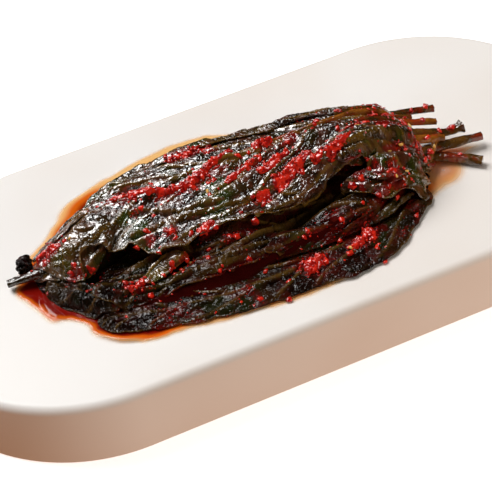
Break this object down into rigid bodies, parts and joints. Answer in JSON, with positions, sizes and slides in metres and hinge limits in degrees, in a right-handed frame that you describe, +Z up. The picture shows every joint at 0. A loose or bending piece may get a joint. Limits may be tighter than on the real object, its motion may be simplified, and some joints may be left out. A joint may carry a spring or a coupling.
{
  "type": "plate of pickled perilla leaves",
  "caption": "Thick white slab plate with rounded ends, carrying a gathered bunch of glossy dark pickled leaves with cut stalks, dotted with red chilli paste.",
  "frame": {"origin": "middle of the plate's flat underside", "axes": "+Z up, +X along the plate towards the cut ends of the stalks, -Y towards the front edge"},
  "size_m": [0.218, 0.11, 0.045],
  "materials": {
    "glaze": "satin",
    "leaf": "gloss",
    "stalk": "gloss",
    "paste": "gloss"
  },
  "bodies": {
    "root": {"plate": "glaze", "leaves_lowest": "leaf", "leaves_lower": "leaf", "leaves_middle": "leaf", "leaves_upper": "leaf", "leaf_top": "leaf", "tip_curl": "leaf", "tip_stub": "stalk", "stalk_back": "stalk", "stalk_top": "stalk", "stalk_split": "stalk", "stalk_long": "stalk", "stalk_drooped": "stalk", "stalk_low": "stalk", "paste_streak_tip": "paste", "paste_streak_middle": "paste", "paste_streak_neck": "paste", "paste_back": "paste", "paste_ridge_tip": "paste", "paste_ridge": "paste", "paste_crown": "paste", "paste_neck": "paste", "paste_front": "paste", "paste_front_neck": "paste"}
  },
  "joints": []
}
